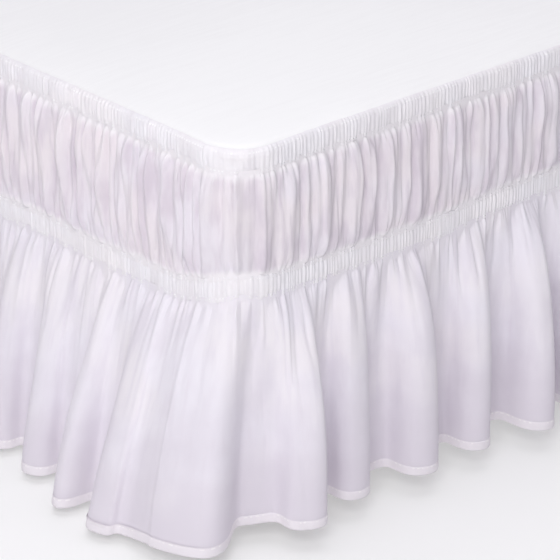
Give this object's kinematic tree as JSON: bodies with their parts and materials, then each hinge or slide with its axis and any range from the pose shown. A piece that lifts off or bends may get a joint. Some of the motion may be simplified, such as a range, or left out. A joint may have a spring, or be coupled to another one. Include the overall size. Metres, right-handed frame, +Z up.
{
  "type": "bed skirt on a bed base",
  "caption": "White wrap-around bed skirt with shirred elastic bands, a gathered panel and a deep folded ruffle, fitted round a plain padded bed base on legs.",
  "frame": {"origin": "on the floor, under the middle of the bed base", "axes": "+Z up, +Y along the bed towards its head, +X to the right when looking towards the head"},
  "size_m": [1.1397, 2.0853, 0.434],
  "materials": {
    "base_fabric": "plain woven cover, matte",
    "leg_wood": "satin varnish",
    "band_fabric": "brushed microfibre shirred on elastic",
    "panel_fabric": "brushed microfibre, gathered",
    "ruffle_fabric": "brushed microfibre, hanging in folds"
  },
  "bodies": {
    "root": {"bed_base": "base_fabric", "leg_foot_right": "leg_wood", "leg_foot_left": "leg_wood", "leg_head_right": "leg_wood", "leg_head_left": "leg_wood", "heading_band": "band_fabric", "upper_panel": "panel_fabric", "middle_band": "band_fabric", "ruffle": "ruffle_fabric"}
  },
  "joints": []
}
